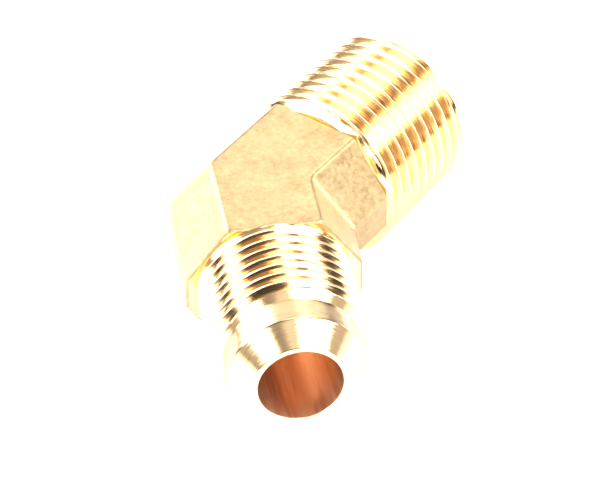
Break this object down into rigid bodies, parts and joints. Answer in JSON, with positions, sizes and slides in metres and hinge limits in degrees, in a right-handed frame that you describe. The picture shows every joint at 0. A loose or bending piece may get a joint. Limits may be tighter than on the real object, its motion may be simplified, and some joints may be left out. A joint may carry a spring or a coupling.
{
  "type": "45 degree flare elbow fitting",
  "caption": "Forged brass 45 degree elbow: male flare end with a tapered seat at one end, male tapered pipe thread at the other, bored right through.",
  "frame": {"origin": "on the lower forged flat, directly below the point where the axes of the two ends cross, so the axes cross at z = +9.25 mm", "axes": "+Z is the normal of the plane both axes lie in; the flare end points along -Y; the pipe end points along (+X +Y)/sqrt(2), 135 degrees round from the flare end"},
  "size_m": [0.0379, 0.0564, 0.0219],
  "materials": {
    "brass": "matte golden tan forged skin on the body; bright turned brass on both threads, the neck, the seat and the nose; satin drilled bores"
  },
  "bodies": {
    "root": {"elbow_body": "brass"}
  },
  "joints": []
}
